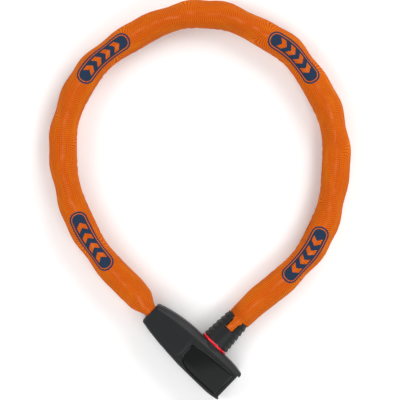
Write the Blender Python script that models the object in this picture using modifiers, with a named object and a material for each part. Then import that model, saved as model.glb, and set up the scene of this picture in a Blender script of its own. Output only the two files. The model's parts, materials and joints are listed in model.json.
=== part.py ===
"""Bicycle chain lock: a square-section chain in a woven sleeve, anchored at one end in a lock head.

The lock lies flat and closed, in metres, +Z up. The origin is below the middle of the whole lock, on
the surface that it lies on. The head has its own frame: x from the chain end to the key end, y towards
the plug, z up from the lock's middle plane.
"""

import math

import bmesh
import bpy
from mathutils import Matrix, Vector

MM = 0.001

# Driving dimensions, in millimetres unless a name says otherwise
MID_HEIGHT = 14.0
HEAD_CORNER = (-41.53, -95.07)
HEAD_TURN_DEG = -44.0
HEAD_HALF_HEIGHT = 14.0
HEAD_WALL_HEIGHT = 10.2
PLUG_X = 57.0
PLUG_PIVOT_Y = 38.0
PLUG_MOUTH_Y = 47.4
ANCHOR_PIVOT_X = 8.5
LINK_COUNT = 23
WIRE = 6.0
LINK_WIDTH = 21.8
LINK_PLAY = 0.5
GAP = 0.3
CROSS_PIN_R = 2.75
ANCHOR_PIN_R = 2.4
SLEEVE_WALL = 0.8
SLEEVE_FLAT = (12.3, 12.6)
SLEEVE_EDGE = (10.8, 13.6)
NECK = (5.4, 12.35)
NECK_RUN = 14.0
SLEEVE_RISE = 0.62
SLEEVE_END_Y = 35.7
SLEEVE_POWER = 2.9
SHANK_R = 7.0
SHANK_END_Y = -7.0
GROOVE_Y = (0.5, 5.5)
CYLINDER_R = 7.5
CORE_R = 6.2
BOLT_X = 64.5
CAM_X = 68.8
DISC_COUNT = 4
SHUTTER_PIVOT = (3.4, 0.0)
SHUTTER_HALF = (5.6, 5.0)
SHUTTER_SEAT = [(-11.0, -9.9), (11.6, -9.9), (11.6, 9.9), (-11.0, 9.9)]
RETAINING_PLACE = (77.0, 9.5, 0.0)
GRIP_NOTCHES = 5
GRIP_NOTCH_START_Y = 23.2
GRIP_NOTCH_STEP = 4.6
GRIP_NOTCH_WIDTH = 1.6
GRIP_NOTCH_DEPTH = 0.6
COLLAR_START = (19.7, 12.6)
COLLAR_END = (47.4, 10.5)

# Each screw's x and y, and the height that its point reaches
SCREWS = ((20.3, 0.0, 5.5), (46.7, -6.5, -3.0), (46.7, 7.5, -3.0))

ROUTE_MIDDLE = (0.33, 0.97)

# The middle of the sleeve from the head's mouth round to the collar, every 25 mm or so
ROUTE = [
    (-40, -92), (-58, -74), (-75.5, -56.5), (-90.5, -37), (-102.5, -15), (-111, 9), (-115, 33),
    (-114.5, 58), (-107.5, 82), (-97, 105), (-79, 121.5), (-58.5, 136.5), (-36.5, 148), (-13, 156),
    (12, 156.5), (36, 150.5), (57, 137), (78, 124.5), (93, 104.5), (106, 83), (113.5, 59.5),
    (115.5, 35), (113, 10), (107.5, -14.5), (97.5, -37), (82, -56.5), (63.5, -73.5), (43.5, -89),
]

# Along the head: x, lower edge, lower crease, upper crease, upper edge
HEAD_STATIONS = [
    (0, -9.9, -8.0, 7.0, 10.1),
    (10, -11.6, -9.7, 8.4, 12.7),
    (20, -13.0, -11.2, 9.7, 14.9),
    (34, -14.2, -12.6, 10.9, 16.5),
    (46, -15.0, -13.5, 11.9, 16.6),
    (58, -15.2, -13.8, 12.6, 17.0),
    (70, -15.2, -13.8, 13.2, 17.4),
    (81, -15.0, -13.6, 13.3, 17.2),
    (90.5, -13.6, -12.3, 12.9, 15.9),
]

# The inlay's outline, from its straight end nearest the chain, against the clock
INLAY_OUTLINE = [
    (43.0, 5.2), (42.8, -7.6), (45.0, -9.9), (49.0, -11.4), (55.0, -12.6), (66.0, -12.7), (86.0, -11.6),
    (86.0, 11.0), (66.0, 9.9), (54.0, 8.7), (47.0, 7.2),
]

COLOURS = {
    "sleeve_fabric": ((0.71, 0.145, 0.007), 0.85, 0.0),
    "moulded_plastic": ((0.013, 0.014, 0.015), 0.45, 0.0),
    "gloss_plastic": ((0.006, 0.006, 0.007), 0.08, 0.0),
    "red_plastic": ((0.76, 0.0, 0.012), 0.3, 0.0),
    "hardened_steel": ((0.45, 0.45, 0.46), 0.35, 1.0),
    "cylinder_brass": ((0.72, 0.5, 0.18), 0.3, 1.0),
}


# ---------------------------------------------------------------- scene and helpers

def clear_scene():
    for obj in list(bpy.data.objects):
        bpy.data.objects.remove(obj)


def new_collection(name):
    collection = bpy.data.collections.new(name)
    bpy.context.scene.collection.children.link(collection)
    return collection


def make_materials():
    made = {}
    for name, (colour, roughness, metallic) in COLOURS.items():
        material = bpy.data.materials.new(name)
        material.use_nodes = True
        shader = material.node_tree.nodes["Principled BSDF"]
        shader.inputs["Base Color"].default_value = (*colour, 1.0)
        shader.inputs["Roughness"].default_value = roughness
        shader.inputs["Metallic"].default_value = metallic
        material.diffuse_color = (*colour, 1.0)
        made[name] = material
    return made


def add_object(name, mesh, collection, material=None, parent=None, place=None):
    obj = bpy.data.objects.new(name, mesh)
    collection.objects.link(obj)
    obj.parent = parent
    obj.matrix_basis = place or Matrix.Identity(4)
    if material and not mesh.materials:
        mesh.materials.append(material)
    return obj


def add_empty(name, collection, place):
    empty = bpy.data.objects.new(name, None)
    collection.objects.link(empty)
    empty.matrix_world = place
    return empty


def mesh_from(bm, name):
    bmesh.ops.recalc_face_normals(bm, faces=bm.faces)
    mesh = bpy.data.meshes.new(name)
    bm.to_mesh(mesh)
    bm.free()
    return mesh


def box_mesh(name, low, high):
    """A box between two corners, in millimetres."""
    bm = bmesh.new()
    bmesh.ops.create_cube(bm, size=1.0)
    size = [(b - a) * MM for a, b in zip(low, high)]
    middle = [(a + b) / 2 * MM for a, b in zip(low, high)]
    bmesh.ops.scale(bm, vec=size, verts=bm.verts)
    bmesh.ops.translate(bm, vec=middle, verts=bm.verts)
    return mesh_from(bm, name)


def turned_mesh(name, profile, sides=24, axis="X", middle=(0.0, 0.0, 0.0), closed=False):
    """A profile of (distance along the axis, radius) points turned round an axis through middle.

    An open profile gets a flat face at each end, and a closed one makes a tube or washer.
    """
    bm = bmesh.new()
    points = [bm.verts.new((along * MM, radius * MM, 0)) for along, radius in profile]
    pairs = list(zip(points, points[1:]))
    if closed:
        pairs.append((points[-1], points[0]))
    for first, second in pairs:
        bm.edges.new((first, second))
    outline = bm.verts[:] + bm.edges[:]
    bmesh.ops.spin(bm, geom=outline, axis=(1, 0, 0), angle=2 * math.pi, steps=sides, use_merge=True)
    bmesh.ops.remove_doubles(bm, verts=bm.verts, dist=0.001 * MM)
    bmesh.ops.holes_fill(bm, edges=bm.edges, sides=sides)
    if axis == "Y":
        bmesh.ops.rotate(bm, verts=bm.verts, matrix=Matrix.Rotation(math.pi / 2, 3, "Z"))
    if axis == "Z":
        bmesh.ops.rotate(bm, verts=bm.verts, matrix=Matrix.Rotation(-math.pi / 2, 3, "Y"))
    bmesh.ops.translate(bm, vec=Vector(middle) * MM, verts=bm.verts)
    return mesh_from(bm, name)


def tube_mesh(name, start, end, outer, inner, sides=24, axis="X"):
    """A washer or bush between two places along an axis."""
    section = [(start, outer), (end, outer), (end, inner), (start, inner)]
    return turned_mesh(name, section, sides, axis, closed=True)


def bridge_rings(bm, first, second):
    count = len(first)
    for k in range(count):
        following = (k + 1) % count
        bm.faces.new((first[k], first[following], second[following], second[k]))


def flat_mesh(name, outlines, thickness, middle_z=0.0):
    """A flat plate from closed outlines in the XY plane, as a filled curve, with its middle at middle_z."""
    curve = bpy.data.curves.new(name, "CURVE")
    curve.dimensions = "2D"
    curve.fill_mode = "BOTH"
    curve.extrude = thickness / 2 * MM
    for outline in outlines:
        spline = curve.splines.new("POLY")
        spline.points.add(len(outline) - 1)
        spline.use_cyclic_u = True
        for point, (x, y) in zip(spline.points, outline):
            point.co = (x * MM, y * MM, 0, 1)
    holder = bpy.data.objects.new(name + "_curve", curve)
    bpy.context.scene.collection.objects.link(holder)
    bpy.context.view_layer.update()
    graph = bpy.context.evaluated_depsgraph_get()
    mesh = bpy.data.meshes.new_from_object(holder.evaluated_get(graph))
    bpy.data.objects.remove(holder)
    bm = bmesh.new()
    bm.from_mesh(mesh)
    bmesh.ops.remove_doubles(bm, verts=bm.verts, dist=0.00001)
    bmesh.ops.translate(bm, vec=(0, 0, middle_z * MM), verts=bm.verts)
    bmesh.ops.recalc_face_normals(bm, faces=bm.faces)
    bm.to_mesh(mesh)
    bm.free()
    return mesh


def rounded_outline(half_length, half_width, radius, steps):
    points = []
    for quarter in range(4):
        turn = quarter * math.pi / 2
        sx = 1 if quarter in (0, 3) else -1
        sy = 1 if quarter in (0, 1) else -1
        for k in range(steps + 1):
            angle = turn + k / steps * math.pi / 2
            x = sx * (half_length - radius) + radius * math.cos(angle)
            y = sy * (half_width - radius) + radius * math.sin(angle)
            points.append((x, y))
    return points


def cut(obj, cutter, operation="DIFFERENCE"):
    modifier = obj.modifiers.new(operation.title(), "BOOLEAN")
    modifier.operation = operation
    modifier.object = cutter


def add_cutter(name, mesh, parent):
    cutter = add_object(name, mesh, cutters, parent=parent)
    cutter.hide_render = True
    cutter.display_type = "WIRE"
    return cutter


# ---------------------------------------------------------------- places

def head_frame():
    turn = Matrix.Rotation(math.radians(HEAD_TURN_DEG), 4, "Z")
    place = Vector((HEAD_CORNER[0] * MM, HEAD_CORNER[1] * MM, MID_HEIGHT * MM))
    return Matrix.Translation(place) @ turn


def in_world(x, y):
    """A point of the head's frame, as world X and Y in millimetres."""
    point = head_frame() @ Vector((x * MM, y * MM, 0))
    return Vector((point.x / MM, point.y / MM))


def smooth_route(steps=24):
    """The route from the anchor to the plug's pivot as a dense Catmull-Rom curve."""
    points = [in_world(ANCHOR_PIVOT_X, 0)]
    points += [Vector(p) - Vector(ROUTE_MIDDLE) for p in ROUTE]
    points += [in_world(PLUG_X, PLUG_MOUTH_Y), in_world(PLUG_X, PLUG_PIVOT_Y)]
    ends = [2 * points[0] - points[1]] + points + [2 * points[-1] - points[-2]]
    curve = []
    for p0, p1, p2, p3 in zip(ends, ends[1:], ends[2:], ends[3:]):
        for k in range(steps):
            t = k / steps
            curve.append(0.5 * (2 * p1 + (p2 - p0) * t + (2 * p0 - 5 * p1 + 4 * p2 - p3) * t * t
                                + (3 * p1 - p0 - 3 * p2 + p3) * t ** 3))
    curve.append(points[-1])
    return curve


def step_along(curve, pitch):
    """Pivots a pitch apart along the curve, and how far the last one is past the curve's end."""
    pivots = [curve[0]]
    index = 0
    for _ in range(LINK_COUNT):
        here = pivots[-1]
        while index < len(curve) - 2 and (curve[index + 1] - here).length < pitch:
            index += 1
        start, run = curve[index], curve[index + 1] - curve[index]
        back = start - here
        a, b, c = run.dot(run), 2 * back.dot(run), back.dot(back) - pitch * pitch
        pivots.append(start + run * ((math.sqrt(b * b - 4 * a * c) - b) / (2 * a)))
    overshoot = (pivots[-1] - curve[-1]).dot((curve[-1] - curve[-2]).normalized())
    return pivots, overshoot


def chain_pivots():
    """The pitch that brings the last link to the plug's pivot, and the pivots between the links."""
    curve = smooth_route()
    low, high = 25.0, 35.0
    for _ in range(50):
        pitch = (low + high) / 2
        pivots, overshoot = step_along(curve, pitch)
        if overshoot > 0:
            high = pitch
        else:
            low = pitch
    return pitch, pivots


# ---------------------------------------------------------------- chain

def link_mesh(pitch):
    """One link, lying in XY with its first pivot at the origin: a square bar round a rounded slot."""
    half_hole = pitch / 2 + LINK_PLAY
    outer = rounded_outline(half_hole + WIRE, LINK_WIDTH / 2, 7.5, 3)
    inner = rounded_outline(half_hole, LINK_WIDTH / 2 - WIRE, 1.2, 2)
    mesh = flat_mesh("chain_link", [outer, inner], WIRE)
    mesh.transform(Matrix.Translation((pitch / 2 * MM, 0, 0)))
    return mesh


def add_links(pitch, pivots):
    mesh = link_mesh(pitch)
    for number, (start, end) in enumerate(zip(pivots, pivots[1:]), 1):
        run = end - start
        place = Matrix.Translation((start.x * MM, start.y * MM, MID_HEIGHT * MM))
        place = place @ Matrix.Rotation(math.atan2(run.y, run.x), 4, "Z")
        if number % 2:
            place = place @ Matrix.Rotation(math.pi / 2, 4, "X")
        link = add_object(f"chain_link_{number:02d}", mesh, parts, materials["hardened_steel"], place=place)
        bevel = link.modifiers.new("Rounded edges", "BEVEL")
        bevel.width = 1.5 * MM
        bevel.segments = 1
        bevel.limit_method = "ANGLE"
        bevel.angle_limit = math.radians(60)


# ---------------------------------------------------------------- sleeve

def sleeve_middle(pitch, pivots, along):
    """Point and direction of the sleeve's middle line, counted along the chain from its first pivot."""
    number = min(max(int(along / pitch + 1e-6), 0), LINK_COUNT - 1)
    into = along - number * pitch
    ahead = (pivots[number + 1] - pivots[number]).normalized()
    point = pivots[number] + ahead * into
    if number and abs(into) < 1e-3:
        before = (pivots[number] - pivots[number - 1]).normalized()
        ahead = (before + ahead).normalized()
    return point, ahead


def smooth_step(share):
    share = min(max(share, 0.0), 1.0)
    return share * share * (3 - 2 * share)


def sleeve_halves(pitch, along):
    """Half width and half height of the sleeve: wide over a flat link, tall over one on its edge."""
    from_edge_link = abs((along / pitch - 0.5) % 2 - 1)
    flat = smooth_step((1 - from_edge_link) / SLEEVE_RISE)
    width = SLEEVE_EDGE[0] + (SLEEVE_FLAT[0] - SLEEVE_EDGE[0]) * flat
    height = SLEEVE_EDGE[1] + (SLEEVE_FLAT[1] - SLEEVE_EDGE[1]) * flat
    neck = smooth_step((along - ANCHOR_PIVOT_X) / NECK_RUN)
    return NECK[0] + (width - NECK[0]) * neck, NECK[1] + (height - NECK[1]) * neck


def sleeve_ring(bm, place, half_width, half_height, power, points=16):
    ring = []
    for k in range(points):
        turn = 2 * math.pi * k / points
        c, s = math.cos(turn), math.sin(turn)
        across = half_width * math.copysign(abs(c) ** (2 / power), c)
        up = half_height * math.copysign(abs(s) ** (2 / power), s)
        ring.append(bm.verts.new(place @ Vector((0, across * MM, up * MM))))
    return ring


def sleeve_piece(name, stations, origin, power=SLEEVE_POWER):
    """An open tube through stations (point, direction, half width, half height), with its wall inwards."""
    bm = bmesh.new()
    rings = []
    for point, direction, half_width, half_height in stations:
        offset = point - origin
        place = Matrix.Translation((offset.x * MM, offset.y * MM, 0))
        place = place @ Matrix.Rotation(math.atan2(direction.y, direction.x), 4, "Z")
        rings.append(sleeve_ring(bm, place, half_width, half_height, power))
    for first, second in zip(rings, rings[1:]):
        bridge_rings(bm, first, second)
    mesh = mesh_from(bm, name)
    place = Matrix.Translation((origin.x * MM, origin.y * MM, MID_HEIGHT * MM))
    sleeve = add_object(name, mesh, parts, materials["sleeve_fabric"], place=place)
    wall = sleeve.modifiers.new("Wall", "SOLIDIFY")
    wall.thickness = SLEEVE_WALL * MM
    wall.offset = -1.0
    return sleeve


def add_sleeve(pitch, pivots):
    """A neck at the head, then one segment over each flat link, from mid link to mid link, and an end."""
    neck_stations = []
    for along in (ANCHOR_PIVOT_X - 1.5, ANCHOR_PIVOT_X + 2, pitch / 2 - GAP / 2):
        neck_stations.append((*sleeve_middle(pitch, pivots, along), *sleeve_halves(pitch, along)))
    sleeve_piece("sleeve_neck", neck_stations, pivots[0])
    for number in range(2, LINK_COUNT, 2):
        start = (number - 1.5) * pitch + GAP / 2
        end = (number + 0.5) * pitch - GAP / 2
        stations = []
        for along in (start, (number - 1) * pitch, (number - 0.5) * pitch, number * pitch, end):
            stations.append((*sleeve_middle(pitch, pivots, along), *sleeve_halves(pitch, along)))
        sleeve_piece(f"sleeve_segment_{number // 2:02d}", stations, pivots[number - 1])
    add_sleeve_end(pitch, pivots)


def add_sleeve_end(pitch, pivots):
    """The sleeve's end: full width up to the collar, then narrow in the collar's slot round the last link."""
    start = (LINK_COUNT - 0.5) * pitch + GAP / 2
    point, direction = sleeve_middle(pitch, pivots, start)
    stations = [(point, direction, *sleeve_halves(pitch, start))]
    narrowing = ((50.6, 9.8, 12.8), (49.2, 7.8, 12.5), (47.9, 4.25, 12.4), (SLEEVE_END_Y, 4.2, 12.3))
    last = (pivots[-1] - pivots[-2]).normalized()
    for y, half_width, half_height in narrowing:
        stations.append((pivots[-1] - last * (y - PLUG_PIVOT_Y), last, half_width, half_height))
    end = sleeve_piece("sleeve_end", stations, pivots[-2], power=5.0)
    hole = turned_mesh("sleeve_pin_hole", [(-8.0, CROSS_PIN_R + GAP), (8.0, CROSS_PIN_R + GAP)], 16, "Y")
    pin_middle = pivots[-1] - last * CROSS_PIN_R
    place = Matrix.Translation((pin_middle.x * MM, pin_middle.y * MM, MID_HEIGHT * MM))
    place = place @ Matrix.Rotation(math.atan2(last.y, last.x), 4, "Z")
    cut(end, add_cutter_on("sleeve_pin_hole", hole, None, place))


# ---------------------------------------------------------------- head housing

def head_block():
    """The housing's outer form: a wall of full outline with a chamfered top and bottom."""
    bm = bmesh.new()
    lower = [(x, edge, crease) for x, edge, crease, _, _ in HEAD_STATIONS]
    upper = [(x, edge, crease) for x, _, _, crease, edge in HEAD_STATIONS]
    wall = [(x, edge) for x, edge, _ in lower] + [(x, edge) for x, edge, _ in reversed(upper)]
    crease = [(x, line) for x, _, line in lower] + [(x, line) for x, _, line in reversed(upper)]
    last = HEAD_STATIONS[-1][0]
    crease = [(min(max(x, 1.2), last - 1.2), y) for x, y in crease]
    levels = [
        (-HEAD_HALF_HEIGHT, crease),
        (-HEAD_WALL_HEIGHT, wall),
        (HEAD_WALL_HEIGHT, wall),
        (HEAD_HALF_HEIGHT, crease),
    ]
    rings = []
    for z, outline in levels:
        rings.append([bm.verts.new((x * MM, y * MM, z * MM)) for x, y in outline])
    for first, second in zip(rings, rings[1:]):
        bridge_rings(bm, first, second)
    bm.faces.new(rings[0])
    bm.faces.new(rings[-1])
    return mesh_from(bm, "head_block")


def mouth_mesh():
    """The chain's way into the head: wide at the mouth, so that the first link can swing."""
    outline = [(-2, -8.1), (0, -8.0), (11, -5.9), (16.5, -5.9), (16.5, 5.9), (11, 5.9), (0, 8.0), (-2, 8.1)]
    return flat_mesh("mouth", [outline], 24.9)


def housing_cutters(head):
    plug_way = turned_mesh("plug_hole", [(10, 7.5), (25, 7.5)], 24, "Y", (PLUG_X, 0, 0))
    pin_way = turned_mesh("pin_hole", [(-12.6, 3.05), (12.6, 3.05)], 16, "Y", (pin_x(), 0, 0))
    return [
        add_cutter("mouth_cutter", mouth_mesh(), head),
        add_cutter("case_pocket", box_mesh("case_pocket", (24.0, -11.8, -10.3), (84.0, 12.3, 10.3)), head),
        add_cutter("end_pocket", box_mesh("end_pocket", (83.0, -11.8, -10.8), (95.0, 12.3, 10.8)), head),
        add_cutter("plug_hole", plug_way, head),
        add_cutter("pin_hole", pin_way, head),
    ]


def add_housing(head):
    """The two half shells. They meet just off the middle plane."""
    block = add_object("head_block", head_block(), cutters, parent=head)
    boss = turned_mesh("plug_boss", [(8.0, 12.9), (17.2, 12.9)], 32, "Y", (PLUG_X, 0, 0))
    cut(block, add_cutter("plug_boss", boss, head), "UNION")
    for cutter in housing_cutters(head):
        cut(block, cutter)
    recess = flat_mesh("inlay_recess", [offset_outline(INLAY_OUTLINE, GAP)], 4.0, HEAD_HALF_HEIGHT + 0.5)
    cut(block, add_cutter("inlay_recess", recess, head))
    add_screw_holes(block, head, "shell_screw")
    bpy.context.view_layer.update()
    graph = bpy.context.evaluated_depsgraph_get()
    whole = bpy.data.meshes.new_from_object(block.evaluated_get(graph))
    bpy.data.objects.remove(block)
    for name, low, high in (("housing_upper_shell", 0.15, 30), ("housing_lower_shell", -30, -0.15)):
        half = add_object(name, whole.copy(), parts, materials["moulded_plastic"], head)
        space = box_mesh(name + "_space", (-30, -50, low), (120, 50, high))
        cut(half, add_cutter(name + "_space", space, head), "INTERSECT")


def pin_x():
    """Where the pin of a chain end sits, so that the link's end bar pivots against it."""
    return ANCHOR_PIVOT_X - CROSS_PIN_R


def offset_outline(outline, distance):
    """The outline with each point moved outwards by the distance in x and in y."""
    middle = Vector((sum(x for x, _ in outline), sum(y for _, y in outline))) / len(outline)
    pushed = []
    for x, y in outline:
        away = Vector((x, y)) - middle
        pushed.append((x + math.copysign(distance, away.x), y + math.copysign(distance, away.y)))
    return pushed


def screw_mesh(name, point_z, clearance=0.0):
    """A screw from below, its head in the lower shell. With a clearance it is the screw's hole."""
    profile = [
        (-13.8 - 4 * clearance, 2.0 + clearance),
        (-12.0 + clearance, 2.0 + clearance),
        (-12.0 + clearance, 1.0 + clearance),
        (point_z + clearance, 1.0 + clearance),
    ]
    return turned_mesh(name, profile, 12, "Z")


def add_screw_holes(target, head, prefix):
    for number, (x, y, point_z) in enumerate(SCREWS, 1):
        hole = screw_mesh("screw_hole", point_z, GAP)
        place = Matrix.Translation((x * MM, y * MM, 0))
        cut(target, add_cutter_on(f"{prefix}_hole_{number}", hole, head, place))


def add_head_small_parts(head):
    plastic, gloss = materials["moulded_plastic"], materials["gloss_plastic"]
    steel = materials["hardened_steel"]
    inlay = flat_mesh("front_inlay", [INLAY_OUTLINE], 1.2, HEAD_HALF_HEIGHT - 0.55)
    add_object("front_inlay", inlay, parts, gloss, head)
    profile = [(-10.4, ANCHOR_PIN_R), (10.4, ANCHOR_PIN_R)]
    pin = turned_mesh("chain_anchor_pin", profile, 16, "Y", (pin_x(), 0, 0))
    add_object("chain_anchor_pin", pin, parts, steel, head)
    for number, (x, y, point_z) in enumerate(SCREWS, 1):
        place = Matrix.Translation((x * MM, y * MM, 0))
        add_object(f"housing_screw_{number}", screw_mesh("housing_screw", point_z), parts, steel, head, place)
    add_key_end(head, plastic)


def add_key_end(head, plastic):
    """The cap at the key end, with a round window onto the core, and its swinging dust shutter."""
    block = box_mesh("key_end_cap", (84.3, -11.5, -10.5), (89.4, 12.0, 10.5))
    cap = add_object("key_end_cap", block, parts, plastic, head)
    window = turned_mesh("key_window", [(80, 5.0), (95, 5.0)], 20)
    cut(cap, add_cutter("key_window", window, head))
    seat = flat_plate_x("shutter_seat", SHUTTER_SEAT, 87.4, 92.0)
    cut(cap, add_cutter("shutter_seat", seat, head))
    pivot = Matrix.Translation((0, SHUTTER_PIVOT[0] * MM, SHUTTER_PIVOT[1] * MM))
    shutter = flat_plate_x("key_shutter", rounded_outline(*SHUTTER_HALF, 2.5, 3), 87.7, 88.9)
    shutter.transform(Matrix.Translation((0, -SHUTTER_PIVOT[0] * MM, 0)))
    add_object("key_shutter", shutter, parts, materials["gloss_plastic"], head, pivot)


def flat_plate_x(name, outline, low_x, high_x):
    """A plate whose outline is given in the head's y and z, from low_x to high_x."""
    mesh = flat_mesh(name, [outline], high_x - low_x, (low_x + high_x) / 2)
    mesh.transform(Matrix(((0, 0, 1, 0), (1, 0, 0, 0), (0, 1, 0, 0), (0, 0, 0, 1))))
    return mesh


# ---------------------------------------------------------------- lock works

def add_lock_case(head):
    """The hardened block that holds the socket for the plug, the bolt's way and the cylinder."""
    steel = materials["hardened_steel"]
    block = box_mesh("lock_case", (24.4, -11.4, -9.9), (83.6, 11.9, 9.9))
    case = add_object("lock_case", block, parts, steel, head)
    socket_r = SHANK_R + 0.5
    socket = turned_mesh("socket", [(-9.5, socket_r), (20, socket_r)], 24, "Y", (PLUG_X, 0, 0))
    cut(case, add_cutter("socket", socket, head))
    bore = turned_mesh("cylinder_bore", [(CAM_X - 0.3, CYLINDER_R + GAP), (90, CYLINDER_R + GAP)], 24)
    cut(case, add_cutter("cylinder_bore", bore, head))
    way = box_mesh("bolt_way", (60.0, GROOVE_Y[0] + 0.2, -4.3), (CAM_X + 1.0, GROOVE_Y[1] - 0.2, 4.3))
    cut(case, add_cutter("bolt_way", way, head))
    hollow = box_mesh("case_hollow", (27.5, -8.0, -7.0), (43.5, 8.5, 12.0))
    cut(case, add_cutter("case_hollow", hollow, head))
    add_screw_holes(case, head, "case_screw")
    pin_hole = turned_mesh("retaining_hole", [(-9.0, 1.3), (12.0, 1.3)], 12, "Z")
    place = Matrix.Translation(Vector(RETAINING_PLACE) * MM)
    cut(case, add_cutter_on("retaining_hole", pin_hole, head, place))
    pin = turned_mesh("cylinder_retaining_pin", [(-8.5, 1.0), (9.5, 1.0)], 12, "Z")
    add_object("cylinder_retaining_pin", pin, parts, steel, head, place)


def add_cylinder(head):
    """A disc cylinder: body, turning core with a keyway, its discs and a cam."""
    brass, steel = materials["cylinder_brass"], materials["hardened_steel"]
    body = tube_mesh("cylinder_body", CAM_X + 1.7, 83.9, CYLINDER_R, CORE_R)
    add_object("cylinder_body", body, parts, brass, head)
    profile = [(CAM_X + 1.9, CORE_R - GAP), (83.0, CORE_R - GAP), (83.0, 4.7), (87.0, 4.7)]
    core = turned_mesh("cylinder_core", profile, 16)
    core = add_object("cylinder_core", core, parts, brass, head)
    keyway = box_mesh("keyway", (67, -1.2, -3.6), (95, 1.2, 3.6))
    cut(core, add_cutter("keyway", keyway, head))
    for number in range(DISC_COUNT):
        low = CAM_X + 2.6 + number * 2.8
        slot = tube_mesh("disc_slot", low, low + 1.8, 6.8, 4.5, 16)
        cut(core, add_cutter(f"disc_slot_{number + 1}", slot, head))
        disc = tube_mesh("disc", low + GAP, low + 1.5, CORE_R - GAP, 4.9, 16)
        add_object(f"cylinder_disc_{number + 1}", disc, parts, steel, head)
    cam = turned_mesh("drive_cam", [(CAM_X, 5.2), (CAM_X + 1.4, 5.2)], 24)
    add_object("drive_cam", cam, parts, steel, head)


def add_bolt(head):
    """The bolt that moves into the plug's groove, drawn back here."""
    steel = materials["hardened_steel"]
    low_y, high_y = GROOVE_Y[0] + 0.6, GROOVE_Y[1] - 0.6
    place = Matrix.Translation((BOLT_X * MM, 0, 0))
    bolt = box_mesh("locking_bolt", (0, low_y, -3.9), (CAM_X - BOLT_X - GAP, high_y, 3.9))
    add_object("locking_bolt", bolt, parts, steel, head, place)


# ---------------------------------------------------------------- plug

def add_plug(head, plug):
    """The plug, on the last pivot: a grooved shank, a red ring, a grip collar and the chain's pin."""
    place = Matrix.Translation((0, -PLUG_PIVOT_Y * MM, 0))
    steel, plastic = materials["hardened_steel"], materials["moulded_plastic"]
    profile = [
        (SHANK_END_Y, SHANK_R - 1.6),
        (SHANK_END_Y + 2.0, SHANK_R),
        (GROOVE_Y[0], SHANK_R),
        (GROOVE_Y[0], SHANK_R - 2.6),
        (GROOVE_Y[1], SHANK_R - 2.6),
        (GROOVE_Y[1], SHANK_R),
        (28.5, SHANK_R),
    ]
    add_object("plug_shank", turned_mesh("plug_shank", profile, 24, "Y"), parts, steel, plug, place)
    ring = tube_mesh("red_ring", 17.5, 19.3, 12.7, SHANK_R + GAP, 32, "Y")
    add_object("red_ring", ring, parts, materials["red_plastic"], plug, place)
    add_collar(plug, place, plastic)
    pin = turned_mesh("plug_cross_pin", [(-9.6, CROSS_PIN_R), (9.6, CROSS_PIN_R)], 16)
    pin_place = Matrix.Translation((0, CROSS_PIN_R * MM, 0))
    add_object("plug_cross_pin", pin, parts, steel, plug, pin_place)


def add_collar(plug, place, plastic):
    """The grip: a tapered sleeve, notched on its two sides, and slotted above and below for the link."""
    (start, start_r), (end, end_r) = COLLAR_START, COLLAR_END
    profile = [(start, start_r - 0.4), (start + 0.9, start_r), (end - 0.4, end_r + 0.1), (end, end_r - 0.2)]
    grip = turned_mesh("plug_collar", profile, 32, "Y")
    collar = add_object("plug_collar", grip, parts, plastic, plug, place)
    for number in range(GRIP_NOTCHES):
        low = GRIP_NOTCH_START_Y + number * GRIP_NOTCH_STEP
        radius = start_r + (end_r - start_r) * (low - start) / (end - start)
        for side in (-1, 1):
            near, far = sorted((side * (radius - GRIP_NOTCH_DEPTH), side * 20.0))
            notch = box_mesh("grip_notch", (near, low, -20.0), (far, low + GRIP_NOTCH_WIDTH, 20.0))
            cut(collar, add_cutter_on("grip_notch", notch, plug, place))
    bore = turned_mesh("shank_bore", [(15.0, SHANK_R + GAP), (28.9, SHANK_R + GAP)], 24, "Y")
    cut(collar, add_cutter_on("shank_bore", bore, plug, place))
    inside = box_mesh("link_room", (-4.5, 28.0, -10.6), (4.5, 60.0, 10.6))
    cut(collar, add_cutter_on("link_room", inside, plug, place))
    slot = box_mesh("link_slot", (-4.5, 35.0, -20.0), (4.5, 60.0, 20.0))
    cut(collar, add_cutter_on("link_slot", slot, plug, place))
    dish = turned_mesh("collar_dish", [(44.7, 7.0), (47.6, 10.2), (52.0, 14.0)], 24, "Y")
    cut(collar, add_cutter_on("collar_dish", dish, plug, place))
    hole = turned_mesh("cross_pin_hole", [(-10.0, CROSS_PIN_R + GAP), (10.0, CROSS_PIN_R + GAP)], 16)
    cut(collar, add_cutter_on("cross_pin_hole", hole, plug, Matrix.Translation((0, CROSS_PIN_R * MM, 0))))


def add_cutter_on(name, mesh, parent, place):
    cutter = add_cutter(name, mesh, parent)
    cutter.matrix_basis = place
    return cutter


# ---------------------------------------------------------------- whole lock

clear_scene()
parts = new_collection("chain_lock")
cutters = new_collection("cutters")
cutters.hide_render = True
materials = make_materials()


def build():
    pitch, pivots = chain_pivots()
    head = add_empty("head_axis", parts, head_frame())
    plug_place = Matrix.Translation((pivots[-1].x * MM, pivots[-1].y * MM, MID_HEIGHT * MM))
    plug_place = plug_place @ Matrix.Rotation(math.radians(HEAD_TURN_DEG), 4, "Z")
    plug = add_empty("plug_axis", parts, plug_place)
    add_links(pitch, pivots)
    add_sleeve(pitch, pivots)
    add_housing(head)
    add_head_small_parts(head)
    add_lock_case(head)
    add_cylinder(head)
    add_bolt(head)
    add_plug(head, plug)


build()
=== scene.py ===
"""Chain lock: a woven sleeve over a link chain, a moulded lock head and its plug.

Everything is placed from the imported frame. The head has its own axes: x from the chain end to the key
end, y towards the plug, z up from the lock's middle plane. Lengths in the code are millimetres.
"""

import json
import math

import bmesh
import bpy
import numpy as np
from mathutils import Matrix, Vector, noise


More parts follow.
